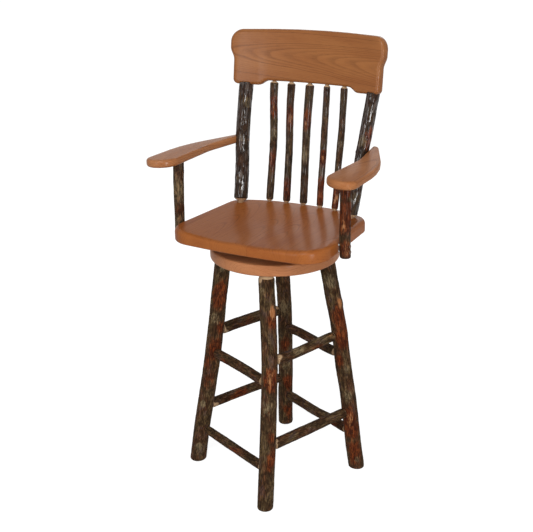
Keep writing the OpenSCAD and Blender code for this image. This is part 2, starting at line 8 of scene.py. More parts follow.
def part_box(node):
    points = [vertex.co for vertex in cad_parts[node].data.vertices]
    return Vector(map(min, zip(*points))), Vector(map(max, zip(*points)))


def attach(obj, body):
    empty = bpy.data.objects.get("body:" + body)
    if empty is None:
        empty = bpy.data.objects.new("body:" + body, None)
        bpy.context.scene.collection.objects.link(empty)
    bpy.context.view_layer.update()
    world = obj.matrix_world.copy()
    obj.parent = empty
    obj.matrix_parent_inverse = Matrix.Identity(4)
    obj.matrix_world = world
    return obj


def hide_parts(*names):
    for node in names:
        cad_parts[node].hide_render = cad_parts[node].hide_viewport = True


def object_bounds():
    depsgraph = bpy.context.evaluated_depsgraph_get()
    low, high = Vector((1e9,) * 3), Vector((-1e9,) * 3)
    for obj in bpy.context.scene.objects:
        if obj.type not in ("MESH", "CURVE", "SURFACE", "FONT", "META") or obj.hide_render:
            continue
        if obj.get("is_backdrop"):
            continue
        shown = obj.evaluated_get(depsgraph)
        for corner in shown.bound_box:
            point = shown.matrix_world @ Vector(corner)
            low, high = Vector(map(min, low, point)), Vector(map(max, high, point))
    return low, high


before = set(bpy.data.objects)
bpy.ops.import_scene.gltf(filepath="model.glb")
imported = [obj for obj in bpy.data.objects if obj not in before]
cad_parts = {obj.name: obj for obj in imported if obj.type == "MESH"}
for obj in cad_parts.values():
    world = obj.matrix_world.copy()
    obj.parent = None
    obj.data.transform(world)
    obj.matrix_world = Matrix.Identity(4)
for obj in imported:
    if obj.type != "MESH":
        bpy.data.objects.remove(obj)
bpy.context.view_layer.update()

# Camera
# The photograph was taken from the chair's front right, a little above its crest rail, through a
# portrait lens. Place, direction and focal length were solved from the chair's outlines in it.
PHOTO_WIDTH = 533
FOCAL_PIXELS = 963.8
CAMERA_PLACE = Vector((1.2322, -2.2252, 1.5702))
CAMERA_LOOK = Vector((-0.4621, 0.8163, -0.3465)).normalized()
CAMERA_ROLL = math.radians(-0.72)

scene = bpy.context.scene
scene.view_settings.view_transform = "Standard"


def put_in_scene(name, data, place, look, roll=0.0):
    """Adds a camera or a lamp at a place, looking along a direction."""
    obj = bpy.data.objects.new(name, data)
    turn = look.to_track_quat("-Z", "Y").to_matrix() @ Matrix.Rotation(roll, 3, "Z")
    obj.matrix_world = Matrix.Translation(place) @ turn.to_4x4()
    scene.collection.objects.link(obj)
    return obj


camera = put_in_scene("camera", bpy.data.cameras.new("camera"), CAMERA_PLACE, CAMERA_LOOK, CAMERA_ROLL)
camera.data.sensor_width = 36
camera.data.lens = FOCAL_PIXELS * camera.data.sensor_width / PHOTO_WIDTH
scene.camera = camera

# Studio
# A white floor that runs on past the picture's edges, an even sky, and soft daylight from behind the
# photographer. A tall lamp stands at their right, a weaker one at their left and another at the back.
AIM = Vector((0, 0, 0.8))
DAYLIGHT_FROM = Vector((0.35, -1.0, 0.90))
DAYLIGHT_STRENGTH = 1.45
DAYLIGHT_SPREAD = math.radians(24)
LAMPS = {
    "front_lamp": {"place": (2.6, -2.0, 0.95), "width": 0.45, "height": 1.8, "watts": 56},
    "left_lamp": {"place": (-0.55, -2.9, 1.35), "width": 0.5, "height": 1.5, "watts": 20},
    "back_lamp": {"place": (-0.8, 3.2, 2.4), "width": 1.8, "height": 1.8, "watts": 20},
}
SKY_LIGHT = 0.34
FLOOR_HALF = 30
FLOOR_GREY = 0.34
FLOOR_GLOW = 0.84

daylight = bpy.data.lights.new("daylight", "SUN")
daylight.energy = DAYLIGHT_STRENGTH
daylight.angle = DAYLIGHT_SPREAD
put_in_scene("daylight", daylight, AIM + DAYLIGHT_FROM, -DAYLIGHT_FROM)

for lamp_name, lamp in LAMPS.items():
    light = bpy.data.lights.new(lamp_name, "AREA")
    light.shape = "RECTANGLE"
    light.size = lamp["width"]
    light.size_y = lamp["height"]
    light.energy = lamp["watts"]
    put_in_scene(lamp_name, light, Vector(lamp["place"]), AIM - Vector(lamp["place"]))


class Value:
    """An output socket that takes part in ordinary arithmetic."""

    def __init__(self, nodes, socket):
        self.nodes = nodes
        self.socket = socket

    def __add__(self, other):
        return self.nodes.maths("ADD", self, other)

    def __sub__(self, other):
        return self.nodes.maths("SUBTRACT", self, other)

    def __rsub__(self, other):
        return self.nodes.maths("SUBTRACT", other, self)

    def __mul__(self, other):
        return self.nodes.maths("MULTIPLY", self, other)

    def __truediv__(self, other):
        return self.nodes.maths("DIVIDE", self, other)

    def __rtruediv__(self, other):
        return self.nodes.maths("DIVIDE", other, self)

    def __abs__(self):
        return self.nodes.maths("ABSOLUTE", self)

    __radd__ = __add__
    __rmul__ = __mul__

    def whole(self):
        return self.nodes.maths("FLOOR", self)

    def rest(self):
        return self.nodes.maths("FRACT", self)

    def root(self):
        return self.nodes.maths("SQRT", self)

    def larger(self, other):
        return self.nodes.maths("MAXIMUM", self, other)

    def step(self, low, high):
        """0 below low, 1 above high, and smooth between them."""
        sockets = {"Value": self, "From Min": low, "From Max": high}
        return self.nodes.add("ShaderNodeMapRange", sockets, interpolation_type="SMOOTHSTEP")


class Nodes:
    """The nodes of a material or of the sky."""

    def __init__(self, owner):
        self.owner = owner
        owner.use_nodes = True
        self.tree = owner.node_tree
        self.tree.nodes.clear()

    def add(self, kind, sockets=None, out=0, **settings):
        """Any node: first its settings, then the values or links of its sockets."""
        node = self.tree.nodes.new(kind)
        for name, setting in settings.items():
            setattr(node, name, setting)
        for name, value in (sockets or {}).items():
            if isinstance(value, Value):
                self.tree.links.new(value.socket, node.inputs[name])
            else:
                node.inputs[name].default_value = value
        return Value(self, node.outputs[out]) if node.outputs else None

    def maths(self, operation, *values):
        return self.add("ShaderNodeMath", dict(enumerate(values)), operation=operation)

    def seen(self):
        """1 for what the camera sees directly, in a reflection or through glass, and 0 for light."""
        camera_ray, glossy, through = (
            self.add("ShaderNodeLightPath", out=f"Is {ray} Ray")
            for ray in ("Camera", "Glossy", "Transmission"))
        return camera_ray.larger(glossy).larger(through)


sky = Nodes(bpy.data.worlds.new("sky"))
scene.world = sky.owner
sky_strength = SKY_LIGHT + sky.seen() * (1 - SKY_LIGHT)
sky_colour = sky.add("ShaderNodeBackground", {"Color": (1, 1, 1, 1), "Strength": sky_strength})
sky.add("ShaderNodeOutputWorld", {"Surface": sky_colour})

paint = Nodes(bpy.data.materials.new("floor_paint"))
painted = paint.add("ShaderNodeBsdfDiffuse", {"Color": (FLOOR_GREY, FLOOR_GREY, FLOOR_GREY, 1)})
glow = paint.add("ShaderNodeEmission", {"Strength": paint.seen() * FLOOR_GLOW})
glowing = paint.add("ShaderNodeAddShader", {0: painted, 1: glow})
paint.add("ShaderNodeOutputMaterial", {"Surface": glowing})

floor_mesh = bmesh.new()
bmesh.ops.create_grid(floor_mesh, x_segments=1, y_segments=1, size=FLOOR_HALF)
floor_data = bpy.data.meshes.new("floor")
floor_mesh.to_mesh(floor_data)
floor_data.materials.append(paint.owner)
floor = bpy.data.objects.new("floor", floor_data)
scene.collection.objects.link(floor)
floor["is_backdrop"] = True

# Seat
# An oak board, glued up from planks that run front to back, dished for the sitter out to its front
# edge and lacquered. Its upper edge is well rounded. It sits a hair out of level on its swivel.
SEAT_WOOD = (0.285, 0.083, 0.018)
SEAT_PLANK = 0.113
SEAT_FRONT_X = 0.239
SEAT_FRONT_Y = -0.208
SEAT_FRONT_DROP = 0.014
SEAT_FRONT_BOW = 1.4
SEAT_REAR_X = 0.220
SEAT_SLIM = 0.002
SEAT_BACK_X = 0.130
SEAT_BACK_Y = 0.192
SEAT_BACK_DROP = 0.016
SEAT_BACK_BOW = 0.7
SEAT_EDGE_TOP = 0.0135
SEAT_EDGE_LOW = 0.0035
SEAT_STRIP = 0.0115
SEAT_TILT = math.radians(-0.3)
DISH_X = 0.205
DISH_BACK = 0.150
DISH_FULL = -0.020
DISH_DEPTH = 0.0090
DISH_POWER = 1.3
POMMEL_SHARE = 0.3
POMMEL_X = 0.04
POMMEL_RUN = 0.12
CORNER_STEP = 0.12
EDGE_STEPS = 6
seat_low, seat_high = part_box("seat")


def apex(radius, run, drop):
    """How far the crown of a long curve lies inside the point of its two tangents."""
    return radius * (1 / math.cos(math.atan2(drop, run)) - 1)


def both_sides(front, right, back):
    """An outline with the corners on its right repeated on its left."""
    return [front, *right, back, *[(-x, y, radius) for x, y, radius in reversed(right)]]


def spread(low, high, step):
    """Even places from low to high, about a step apart."""
    count = max(1, round((high - low) / step))
    return [low + (high - low) * i / count for i in range(count + 1)]


def face_up(bm, corners, z):
    """A flat face at height z with its corners, (x, y, radius), rounded."""
    verts = [bm.verts.new((x, y, z)) for x, y, radius in corners]
    bm.faces.new(verts)
    for i, (x, y, radius) in enumerate(corners):
        before = Vector(corners[i - 1][:2]) - Vector((x, y))
        after = Vector(corners[(i + 1) % len(corners)][:2]) - Vector((x, y))
        half = before.angle(after) / 2
        steps = max(3, round((math.pi - 2 * half) / CORNER_STEP))
        bmesh.ops.bevel(bm, geom=[verts[i]], offset=radius / math.tan(half), offset_type="OFFSET",
                        segments=steps, profile=0.5, affect="VERTICES", material=-1)


def thicken(bm, low, high, edge_low, edge_high):
    """Raises a flat face at height low into a board with rounded edges."""
    risen = bmesh.ops.extrude_face_region(bm, geom=bm.faces[:])["geom"]
    upper = [part for part in risen if isinstance(part, bmesh.types.BMVert)]
    bmesh.ops.translate(bm, vec=(0, 0, high - low), verts=upper)
    bmesh.ops.recalc_face_normals(bm, faces=bm.faces[:])
    for level, radius in ((low, edge_low), (high, edge_high)):
        rim = [e for e in bm.edges if all(abs(v.co.z - level) < 1e-6 for v in e.verts)]
        bmesh.ops.bevel(bm, geom=rim, offset=radius, offset_type="OFFSET", segments=EDGE_STEPS,
                        profile=0.5, affect="EDGES", material=-1)


def board(corners, low, high, edge_low, edge_high, cuts_x=(), cuts_y=()):
    """A board with rounded edges, cut into strips so that its faces can be bent."""
    bm = bmesh.new()
    face_up(bm, corners, low)
    thicken(bm, low, high, edge_low, edge_high)
    for axis, places in enumerate((cuts_x, cuts_y)):
        across = Vector([i == axis for i in range(3)])
        for place in places:
            bmesh.ops.bisect_plane(bm, geom=bm.verts[:] + bm.edges[:] + bm.faces[:], dist=1e-5,
                                   plane_co=across * place, plane_no=across)
    return bm


def turned(place, angle, axis):
    """A turn by an angle round the line through a place along an axis."""
    there = Matrix.Translation(place)
    return there @ Matrix.Rotation(angle, 4, axis) @ there.inverted()


def add_piece(name, bm, body, material, node):
    """Makes a mesh the piece that stands for a node and rides on its body."""
    bmesh.ops.recalc_face_normals(bm, faces=bm.faces[:])
    for face in bm.faces:
        face.smooth = True
    data = bpy.data.meshes.new(name)
    bm.to_mesh(data)
    bm.free()
    data.materials.append(material)
    obj = bpy.data.objects.new(name, data)
    scene.collection.objects.link(obj)
    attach(obj, body)
    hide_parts(node)


def mix(nodes, share, first, second):
    """From the first colour to the second, as the share goes from 0 to 1."""
    first, second = ((*colour, 1.0) if isinstance(colour, tuple) else colour for colour in (first, second))
    return nodes.add("ShaderNodeMix", {0: share, 6: first, 7: second}, out=2, data_type="RGBA")


def tinted(colour, red, green, blue):
    """A colour with each of its parts scaled."""
    return colour[0] * red, colour[1] * green, colour[2] * blue


def stretched(nodes, place, x, y, z):
    """A place with its three axes scaled, so that a pattern is finer or longer along each."""
    return nodes.add("ShaderNodeVectorMath", {0: place, 1: (x, y, z)}, operation="MULTIPLY")


def cloud(nodes, place, detail=2.0, rough=0.5, swirl=0.0):
    """Soft noise around 0.5."""
    sockets = {"Vector": place, "Scale": 1.0, "Detail": detail, "Roughness": rough, "Distortion": swirl}
    return nodes.add("ShaderNodeTexNoise", sockets)


def chance(nodes, number):
    """A number from 0 to 1 that is drawn anew for each whole number."""
    return nodes.add("ShaderNodeTexWhiteNoise", {"W": number}, noise_dimensions="1D")


def lacquered(nodes, colour, roughness, height, depth, coat=0.0, coat_roughness=0.18, metallic=0.0,
              specular=0.02):
    """Ends a material: its height, in units of depth metres, bends the light on it."""
    bump = nodes.add("ShaderNodeBump", {"Distance": depth, "Height": height})
    sockets = {"Base Color": colour, "Roughness": roughness, "Normal": bump, "Metallic": metallic,
               "Coat Weight": coat, "Coat Roughness": coat_roughness, "Specular IOR Level": specular}
    shine = nodes.add("ShaderNodeBsdfPrincipled", sockets)
    nodes.add("ShaderNodeOutputMaterial", {"Surface": shine})
    return nodes.owner


def oak(name, wood, middle, turn, pith, coat, seed, wander=0.0, ring=0.0038, bent=None, plank=None,
        figure=1.0, coat_roughness=0.18):
    """Oak with its grain along X round a middle point, before it is turned.

    The pith lies that far under the middle and draws nearer or farther by wander for each metre of
    length. The rings are a ring apart, and figure is how strongly they show. Bent is the radius of a
    bent board, and plank the width of the planks of a board that is glued up.
    """
    nodes = Nodes(bpy.data.materials.new(name))
    place = nodes.add("ShaderNodeTexCoord", out="Object")
    place = nodes.add("ShaderNodeVectorMath", {0: place, 1: middle}, operation="SUBTRACT")
    place = nodes.add("ShaderNodeVectorRotate", {"Vector": place, "Rotation": turn},
                      rotation_type="EULER_XYZ", invert=True)
    xyz = nodes.add("ShaderNodeSeparateXYZ", {0: place})
    x, y, z = (Value(nodes, socket) for socket in xyz.socket.node.outputs)

    def at(along, side, depth):
        return nodes.add("ShaderNodeCombineXYZ", {0: along, 1: side, 2: depth})

    if bent:
        z = z - x * x / (2 * bent)
    shift = seed
    if plank:
        number = (y / plank).whole()
        y = y - (number + 0.5) * plank
        luck = chance(nodes, number + seed)
        joint = (abs(y) - (plank / 2 - 0.0006)).step(0.0, 0.0004)
        shift = luck * 9.7 + seed
    run = x + shift
    bend = cloud(nodes, at(run * 2.4, y * 7.0, z * 7.0), detail=3.0) - 0.5
    drift = cloud(nodes, at(run * 1.1, shift, 3.3)) - 0.5
    side = y + drift * 0.06 + bend * 0.020
    if plank:
        side = side + (luck - 0.5) * 0.05
    deep = z + pith + x * wander + bend * 0.006
    age = (side * side + deep * deep).root() / ring
    age = age + cloud(nodes, at(run * 9.0, y * 50.0, z * 50.0)) * 0.6
    strong = chance(nodes, age.whole() + seed)
    early = age.rest().step(0.0, 0.12) * (1.0 - age.rest().step(0.18, 0.80))
    early = early * (0.22 + strong * strong * 0.95)
    fibre = cloud(nodes, at(run * 14.0, y * 480.0, z * 480.0), detail=3.0, rough=0.6)
    pore = cloud(nodes, at(run * 60.0, y * 1250.0, z * 1250.0), detail=1.0).step(0.58, 0.72)
    patch = cloud(nodes, at(run * 4.5, y * 20.0, z * 20.0), detail=3.0)
    fleck = cloud(nodes, at(run * 120.0, y * 300.0, z * 300.0)).step(0.70, 0.78)
    colour = mix(nodes, patch.step(0.32, 0.68),
                 tinted(wood, 1.08, 1.14, 1.22), tinted(wood, 0.90, 0.86, 0.84))
    if plank:
        colour = mix(nodes, luck * 0.5, colour, tinted(wood, 1.12, 1.28, 1.50))
    colour = mix(nodes, early * (0.42 * figure), colour, tinted(wood, 0.48, 0.42, 0.40))
    colour = mix(nodes, fibre.step(0.46, 0.80) * 0.40, colour, tinted(wood, 0.50, 0.41, 0.36))
    colour = mix(nodes, fleck * 0.25, colour, tinted(wood, 1.25, 1.45, 1.80))
    colour = mix(nodes, pore * (early * 0.6 + 0.12), colour, tinted(wood, 0.24, 0.20, 0.20))
    if plank:
        colour = mix(nodes, joint * 0.55, colour, tinted(wood, 0.42, 0.38, 0.42))
    roughness = 0.40 + fibre * 0.14
    height = fibre * 0.35 - early * 0.30 - pore * 0.8
    return lacquered(nodes, colour, roughness, height, 0.00010, coat, coat_roughness)


front_crown = SEAT_FRONT_Y - apex(SEAT_FRONT_BOW, SEAT_FRONT_X, SEAT_FRONT_DROP)
back_crown = SEAT_BACK_Y + apex(SEAT_BACK_BOW, SEAT_BACK_X, SEAT_BACK_DROP)
seat_corners = both_sides(
    (0, front_crown, SEAT_FRONT_BOW),
    [(SEAT_FRONT_X - SEAT_SLIM, SEAT_FRONT_Y + SEAT_FRONT_DROP, 0.074),
     (SEAT_REAR_X - SEAT_SLIM, 0.144, 0.048),
     (SEAT_BACK_X, back_crown - SEAT_BACK_DROP, 0.300)],
    (0, back_crown, SEAT_BACK_BOW))
seat = board(seat_corners, seat_low.z, seat_high.z, SEAT_EDGE_LOW, SEAT_EDGE_TOP,
             spread(-0.228, 0.228, SEAT_STRIP), spread(-0.190, 0.178, SEAT_STRIP))
for vert in seat.verts:
    x, y, z = vert.co
    upper = max(0.0, (z - seat_high.z + SEAT_EDGE_TOP) / SEAT_EDGE_TOP)
    across = max(0.0, 1 - (x / DISH_X) ** 2)
    along = max(0.0, min(1.0, (DISH_BACK - y) / (DISH_BACK - DISH_FULL)))
    pommel = POMMEL_SHARE * math.exp(-(x / POMMEL_X) ** 2) * max(0.0, min(1.0, -y / POMMEL_RUN))
    vert.co.z -= DISH_DEPTH * upper * across ** DISH_POWER * along ** 2 * (3 - 2 * along) * (1 - pommel)
seat.transform(turned(seat_low, SEAT_TILT, "Y"))
seat_oak = oak("seat_oak", SEAT_WOOD, (0.03, 0.0, 0.745), turn=(0, 0, math.pi / 2), pith=0.035,
               wander=0.09, plank=SEAT_PLANK, figure=0.7, coat=0.18, coat_roughness=0.22, seed=2.0)
add_piece("oak_seat", seat, "seat", seat_oak, "seat")

# Arms
# Oak paddles, wide at the front, that narrow to the back posts and are scribed round them. They are
# alike but fitted by hand, so that the left one stands a little further forward than the right one.
ARM_WOOD = (0.350, 0.137, 0.050)
ARM_TOP = 0.9525
ARM_THICK = 0.0225
ARM_TILT = math.radians(2.5)
ARM_INNER = 0.210
ARM_OUTER = 0.299
ARM_TIP = 0.199
ARM_FRONT = -0.183
ARM_REAR = 0.197
ARM_EDGE = 0.008
ARM_JOINT_Y = 0.172
SIDES = {"left": -1, "right": 1}
ARMS = {
    "left": {"skew": -0.015, "turn": math.radians(-0.2), "coat": 0.30, "seed": 2.6},
    "right": {"skew": 0.012, "turn": math.radians(1.7), "coat": 0.08, "seed": 7.4},
}
ARM_CORNERS = [
    (ARM_INNER, ARM_FRONT, 0.049), (ARM_OUTER, ARM_FRONT, 0.036), (ARM_OUTER, 0.012, 0.300),
    (ARM_TIP + 0.018, ARM_REAR, 0.009), (ARM_TIP, ARM_REAR, 0.007), (ARM_INNER + 0.012, 0.045, 0.160)]

for side, look in ARMS.items():
    arm = board(ARM_CORNERS, -ARM_THICK, 0, ARM_EDGE, ARM_EDGE)
    arm.transform(turned((ARM_INNER, 0, 0), ARM_TILT, "Y"))
    arm.transform(turned((ARM_TIP, ARM_JOINT_Y, 0), look["turn"], "Z"))
    arm.transform(Matrix.Translation((0, look["skew"], ARM_TOP)))
    arm.transform(Matrix.Diagonal((SIDES[side], 1, 1, 1)))
    arm_oak = oak(f"arm_oak_{side}", ARM_WOOD, (SIDES[side] * 0.25, 0, 0.94), turn=(0, 0, math.pi / 2),
                  pith=0.05, wander=0.06, coat=look["coat"], coat_roughness=0.25, seed=look["seed"])
    add_piece(f"oak_arm_{side}", arm, "seat", arm_oak, f"arm_{side}")

# Crest rail
# A wide oak board, steam-bent to the sitter's back, that leans back on the posts and spindles. It has
# S-shaped ends, an arched top and a lower edge that steps up between two end blocks. It was sawn by
# hand, so that it reaches a little further on its left.
CREST_WOOD = (0.276, 0.099, 0.027)
CREST_FOOT = Vector((0, 0.214, 1.098))
CREST_X = 0.240
CREST_HIGH = 0.150
CREST_ARCH = 0.009
CREST_ARCH_BOW = 2.5
CREST_WAIST = 0.010
CREST_THICK = 0.028
CREST_EDGE = 0.009
CREST_BEND = 1.2
CREST_LEAN = math.radians(6.5)
CREST_STEP = 0.014
CREST_SKEW = -0.0075
CREST_SPARE = 0.0015
CREST_STRIP = 0.010
POST_TOP_X = 0.200
crest_crown = CREST_HIGH + CREST_ARCH + apex(CREST_ARCH_BOW, CREST_X, CREST_ARCH)
crest_corners = both_sides(
    (0, CREST_STEP + 0.002, 3.0),
    [(0.132, CREST_STEP, 0.022), (0.152, 0, 0.022),
     (CREST_X - CREST_WAIST, 0, 0.014), (CREST_X - CREST_WAIST, 0.073, 0.026),
     (CREST_X, 0.095, 0.026), (CREST_X, CREST_HIGH, 0.036)],
    (0, crest_crown, CREST_ARCH_BOW))


def crest_point(x, high):
    """The middle of the crest rail's thickness, a height above its lower edge."""
    sag = CREST_BEND - math.sqrt(CREST_BEND ** 2 - x * x)
    post_sag = CREST_BEND - math.sqrt(CREST_BEND ** 2 - POST_TOP_X ** 2)
    back = high * math.sin(CREST_LEAN) - sag * math.cos(CREST_LEAN)
    rise = high * math.cos(CREST_LEAN) + (sag - post_sag) * math.sin(CREST_LEAN)
    return CREST_FOOT + Vector((x, back, rise))


crest = board(crest_corners, -CREST_THICK / 2, CREST_THICK / 2, CREST_EDGE, CREST_EDGE,
              spread(-0.22, 0.22, CREST_STRIP))
behind = Vector((0, math.cos(CREST_LEAN), -math.sin(CREST_LEAN)))
for vert in crest.verts:
    x, high, depth = vert.co
    x += CREST_SKEW * abs(x / CREST_X) ** 3
    high += CREST_SPARE * (2.4 * high / CREST_HIGH - 1)
    vert.co = crest_point(x + depth * x / CREST_BEND, high) + behind * depth
crest_oak = oak("crest_oak", CREST_WOOD, tuple(crest_point(0, CREST_HIGH / 2)),
                turn=(math.pi / 2 - CREST_LEAN, 0.05, 0), pith=-0.074, wander=0.032, ring=0.0025,
                bent=CREST_BEND, figure=1.7, coat=0.35, coat_roughness=0.25, seed=1.3)
add_piece("oak_crest_rail", crest, "seat", crest_oak, "crest_rail")

# Disc
# A round oak board, glued up from planks, that the four legs are tenoned into from below. It carries
# the swivel, and its edges are softened.
DISC_WOOD = (0.400, 0.155, 0.061)
DISC_EDGE = 0.005
DISC_SPARE = 0.0045
BASE_TURN = math.radians(21.8)
disc_low, disc_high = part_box("base_disc")

disc = bmesh.new()
bmesh.ops.create_circle(disc, cap_ends=True, radius=disc_high.x + DISC_SPARE, segments=128)
bmesh.ops.translate(disc, vec=(0, 0, disc_low.z), verts=disc.verts[:])
thicken(disc, disc_low.z, disc_high.z, DISC_EDGE, DISC_EDGE)
disc_oak = oak("disc_oak", DISC_WOOD, (0.0, 0.03, 0.70), turn=(0, 0, BASE_TURN + 0.3), pith=0.035,
               plank=0.12, figure=0.6, coat=0.15, seed=7.0)
add_piece("oak_disc", disc, "base", disc_oak, "base_disc")

# Legs
# Lacquered hickory logs with their bark on, each with its own bends, knots, worn rusty patches and
# lichen. They are cut flat on the floor, and turned down to a bare tenon that goes into the disc. All
# logs' radii and strays were fitted to the photograph by a program and rounded to half a millimetre.
TO_VIEWER = Vector((0.48, -0.87, 0.0))
FOOT_RADIUS = 0.243
HEAD_RADIUS = 0.147
LEG_TENON = 0.0185
LEG_REVEAL = 0.014
LEGS = {
    "leg_front": {
        "radii": (0.0225, 0.0215),
        "stray": (-0.0035, 0, 0.003, 0.0055, 0.005, 0, -0.005), "forward": 0.006,
        "marks": [
            ("bare", 0.658, -58, 0.009, 1.5), ("knot", 0.56, 50, 0.012, 0.5),
            ("scar", 0.566, 34, 0.008, 1.2), ("rust", 0.548, 38, 0.015, 1),
            ("rust", 0.378, 0, 0.02, 1.1), ("scar", 0.382, 5, 0.014, 0.6), ("rust", 0.15, 42, 0.02, 0.9),
            ("moss", 0.3, -20, 0.024, 0.8), ("moss", 0.48, -10, 0.022, 0.5),
            ("moss", 0.06, 10, 0.018, 0.4), ("rust", 0.215, 20, 0.014, 0.5),
            ("moss", 0.63, -40, 0.014, 0.6)]},
    "leg_right": {
        "radii": (0.0230, 0.0220), "stray": (-0.002, -0.001, 0.0025, 0.0015, 0.004, 0, -0.0035),
        "marks": [
            ("moss", 0.605, -12, 0.02, 1.2), ("scar", 0.536, 40, 0.008, 1.1),
            ("knot", 0.53, 58, 0.013, 0.7), ("rust", 0.49, 22, 0.026, 1.1),
            ("rust", 0.425, 20, 0.022, 1), ("moss", 0.335, 20, 0.014, 0.9),
            ("scar", 0.34, 30, 0.005, 0.5), ("moss", 0.245, 0, 0.024, 0.7),
            ("rust", 0.15, -15, 0.028, 1.2), ("rust", 0.36, -25, 0.014, 0.8),
            ("moss", 0.035, 10, 0.01, 0.8), ("rust", 0.06, -5, 0.026, 0.85),
            ("scar", 0.17, -8, 0.013, 0.6)]},
    "leg_back": {
        "radii": (0.0230, 0.0205), "stray": (0, 0.0015, 0.0045, 0.006, 0.0055, 0.002, -0.0005),
        "marks": [
            ("moss", 0.45, -10, 0.03, 0.8), ("moss", 0.23, 0, 0.026, 0.7), ("rust", 0.17, 25, 0.02, 1),
            ("rust", 0.06, 35, 0.022, 0.8), ("rust", 0.6, 0, 0.024, 1), ("rust", 0.31, 0, 0.02, 0.7),
            ("knot", 0.3, 30, 0.01, 0.5), ("knot", 0.52, -120, 0.01, 0.7),
            ("rust", 0.38, 150, 0.025, 0.9)]},
    "leg_left": {
        "radii": (0.0240, 0.0225),
        "stray": (0.0005, 0.001, 0.0035, 0.006, 0.0055, 0.003, 0.0025), "forward": 0.009,
        "marks": [
            ("moss", 0.635, 0, 0.018, 0.7), ("rust", 0.552, 4, 0.024, 1.3),
            ("moss", 0.478, -10, 0.022, 0.7), ("rust", 0.38, 18, 0.02, 1.1),
            ("rust", 0.45, 42, 0.016, 0.8), ("rust", 0.275, 0, 0.02, 0.5),
            ("moss", 0.197, -20, 0.009, 1.6), ("moss", 0.052, -5, 0.01, 1.6),
            ("rust", 0.33, -40, 0.014, 0.8), ("knot", 0.32, 60, 0.01, 0.5),
            ("knot", 0.14, -150, 0.011, 0.8)]},
}


def bark(name, specular):
    """Lacquered hickory bark. Attributes say where it is bare, knotted, worn, rusty, mossy or shiny."""
    nodes = Nodes(bpy.data.materials.new(name))

    def painted(layer):
        return nodes.add("ShaderNodeAttribute", attribute_name=layer, out="Fac")

    def pattern(around, along, **settings):
        """A cloudy pattern, with about so many spots a metre round the stick and along it."""
        return cloud(nodes, stretched(nodes, grain, around, around, along), **settings)

    grain = nodes.add("ShaderNodeAttribute", attribute_name="grain", out="Vector")
    bare = painted("bare")
    shiny = painted("shine")
    fibre = pattern(520, 85, detail=4.0, rough=0.62)
    ridge = pattern(170, 26, detail=3.0, rough=0.6, swirl=0.5)
    mottle = pattern(120, 62, detail=4.0, rough=0.65)
    patch = pattern(36, 19, detail=4.0, rough=0.6)
    blotch = pattern(62, 30, detail=4.0, rough=0.65, swirl=0.4)
    speck = pattern(330, 210)
    crack = 1.0 - (abs(ridge - 0.5) * 12.0).step(0.0, 1.0)
    colour = mix(nodes, patch.step(0.38, 0.60), (0.128, 0.082, 0.037), (0.112, 0.046, 0.020))
    colour = mix(nodes, mottle.step(0.50, 0.66) * 0.40, colour, (0.215, 0.132, 0.064))
    colour = mix(nodes, blotch.step(0.53, 0.64) * 0.55, colour, (0.088, 0.058, 0.058))
    colour = mix(nodes, (1.0 - blotch.step(0.40, 0.55)) * 0.80, colour, (0.036, 0.019, 0.009))
    colour = mix(nodes, shiny * 0.66, colour, (0.015, 0.009, 0.009))
    rusty = painted("rust") * 0.85 + (patch - 0.5) * 0.7 + (mottle - 0.5) * 0.7 + (fibre - 0.5) * 0.3
    rust = mix(nodes, mottle.step(0.40, 0.62), (0.095, 0.016, 0.005), (0.200, 0.046, 0.012))
    colour = mix(nodes, rusty.step(0.20, 0.60) * 0.92, colour, rust)
    mossy = painted("moss") * 0.60 + (mottle - 0.5) * 0.9 + (speck - 0.5) * 0.5
    moss = mossy.step(0.20, 0.56) * (1.0 - shiny * 0.4)
    colour = mix(nodes, moss * 0.85, colour, (0.245, 0.180, 0.098))
    colour = mix(nodes, (1.0 - fibre.step(0.34, 0.62)) * 0.55, colour, (0.022, 0.012, 0.007))
    colour = mix(nodes, speck.step(0.66, 0.74) * 0.30, colour, (0.30, 0.21, 0.13))
    colour = mix(nodes, crack * 0.75, colour, (0.012, 0.007, 0.005))
    colour = mix(nodes, painted("knot").step(0.15, 0.6) * 0.75, colour, (0.022, 0.012, 0.007))
    scarred = painted("scar") * 0.9 + (fibre - 0.5) + (mottle - 0.5) * 1.2
    scar = mix(nodes, fibre.step(0.3, 0.7), (0.23, 0.076, 0.022), (0.38, 0.180, 0.080))
    colour = mix(nodes, scarred.step(0.30, 0.75), colour, scar)
    wood = mix(nodes, pattern(700, 70).step(0.3, 0.7), (0.50, 0.35, 0.21), (0.34, 0.20, 0.11))
    colour = mix(nodes, bare.step(0.3, 0.7), colour, wood)
    pooled = (ridge * 0.65 + mottle * 0.35).step(0.48, 0.54)
    roughness = 0.65 - fibre * 0.10 - pooled * shiny * 0.35
    height = ridge + fibre * 0.5 - crack * 0.9 + speck * 0.15 - bare * 0.6
    return lacquered(nodes, colour, roughness, height * (1.0 - bare * 0.8), 0.0010,
                     coat=shiny * pooled, coat_roughness=0.13, specular=specular)


legs_bark = bark("legs_bark", 0.02)


def tenon_end(reveal, tenon_radius, radius, blunt=2.4):
    """Rings (distance, radius, bareness) of an end that is whittled down to a bare tenon.

    The blunter it is, the steeper its shoulder.
    """
    shoulder = radius * 0.93
    bare = [(-0.004, tenon_radius, 1.0), (reveal * 0.5, tenon_radius, 1.0)]
    for share in (0.35, 0.7, 0.9, 1.0):
        distance = reveal * (0.5 + 0.5 * share ** blunt)
        bare.append((distance, tenon_radius + (shoulder - tenon_radius) * share, 1.0))
    return bare + [(reveal + 0.0004, radius * 0.96, 0.0), (reveal + 0.0014, radius * 0.985, 0.0)]


